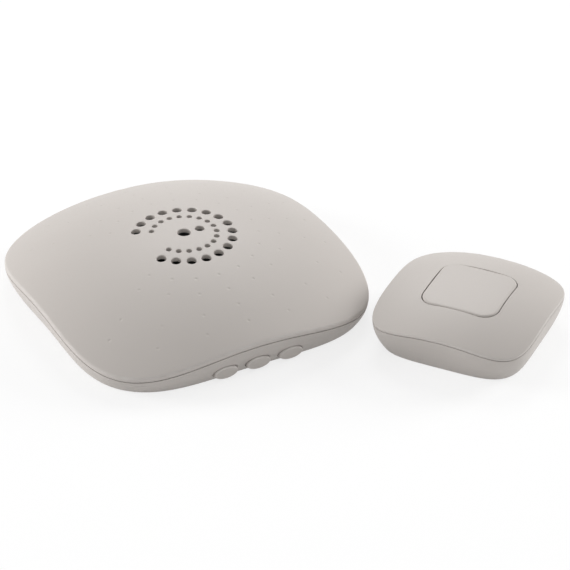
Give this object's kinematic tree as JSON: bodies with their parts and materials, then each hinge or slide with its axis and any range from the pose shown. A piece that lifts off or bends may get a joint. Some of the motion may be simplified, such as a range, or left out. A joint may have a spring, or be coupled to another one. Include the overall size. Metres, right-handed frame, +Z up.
{
  "type": "wireless doorbell",
  "caption": "Domed squircle chime unit with a speaker grille and side buttons, and a small domed push unit with a square button; battery powered.",
  "frame": {"origin": "middle of the chime unit's underside", "axes": "+Z up out of the domed cover, -Y toward the chime's side buttons, +X toward the push unit"},
  "size_m": [0.1688, 0.1628, 0.0255],
  "materials": {
    "case": "satin moulded",
    "button": "satin moulded",
    "plate": "satin moulded",
    "steel": "zinc plated",
    "cell": "printed sleeve without text",
    "coin": "bright",
    "copper": "enamelled winding",
    "board": "solder mask",
    "black_part": "moulded package",
    "can": "drawn can",
    "lead": "insulated wire",
    "foam": "closed-cell foam",
    "magnet": "bare",
    "cone": "formed film",
    "surround": "formed rubber"
  },
  "bodies": {
    "chime": {"chime_base": "case", "chime_cover": "case", "cover_screws": "steel", "battery_cell_front": "cell", "battery_cell_middle": "cell", "battery_cell_rear": "cell", "battery_contact_strips": "steel", "battery_contact_springs": "steel", "battery_leads": "lead", "side_switch_bodies": "black_part", "main_circuit_board": "board", "board_screws": "steel", "sound_chip": "black_part", "receiver_module": "board", "power_capacitor": "can", "antenna_wire": "lead", "speaker_gasket": "foam", "speaker_frame": "steel", "speaker_yoke": "steel", "speaker_magnet": "magnet", "speaker_pole_plate": "steel", "speaker_surround": "surround", "speaker_washers": "steel", "speaker_screws": "steel", "speaker_leads": "lead"},
    "speaker diaphragm": {"speaker_voice_coil": "copper", "speaker_cone": "cone", "speaker_dust_cap": "cone"},
    "left button": {"left_side_button": "button", "left_switch_plunger": "black_part"},
    "middle button": {"middle_side_button": "button", "middle_switch_plunger": "black_part"},
    "right button": {"right_side_button": "button", "right_switch_plunger": "black_part"},
    "battery door": {"battery_door": "plate"},
    "push unit": {"push_base": "case", "push_cover": "case", "push_case_screws": "steel", "push_switch_body": "black_part", "push_circuit_board": "board", "transmitter_chip": "black_part", "frequency_resonator": "steel", "coin_cell": "coin", "coin_cell_clip": "steel"},
    "push button": {"push_button": "button", "push_switch_plunger": "black_part"},
    "wall plate": {"wall_plate": "plate"}
  },
  "joints": [
    {"name": "cone_travel", "type": "slide", "parent": "chime", "child": "speaker diaphragm", "axis": [0, 0, 1], "range_m": [-0.0004, 0.0004], "stiffness_N_per_m": 900, "deforming": ["speaker_surround"]},
    {"name": "left_button_press", "type": "slide", "parent": "chime", "child": "left button", "axis": [0, 1, 0], "range_m": [0, 0.0007], "stiffness_N_per_m": 2600},
    {"name": "middle_button_press", "type": "slide", "parent": "chime", "child": "middle button", "axis": [0, 1, 0], "range_m": [0, 0.0007], "stiffness_N_per_m": 2600},
    {"name": "right_button_press", "type": "slide", "parent": "chime", "child": "right button", "axis": [0, 1, 0], "range_m": [0, 0.0007], "stiffness_N_per_m": 2600},
    {"name": "door_slide", "type": "slide", "parent": "chime", "child": "battery door", "axis": [1, 0, 0], "range_m": [0, 0.006]},
    {"name": "push_unit_lift", "type": "slide", "parent": "chime", "child": "push unit", "axis": [0, 0, 1], "range_m": [0, 0.08]},
    {"name": "push_button_press", "type": "slide", "parent": "push unit", "child": "push button", "axis": [0, 0, -1], "range_m": [0, 0.0008], "stiffness_N_per_m": 2600},
    {"name": "wall_plate_pull", "type": "slide", "parent": "push unit", "child": "wall plate", "axis": [0, 0, -1], "range_m": [0, 0.02]}
  ]
}
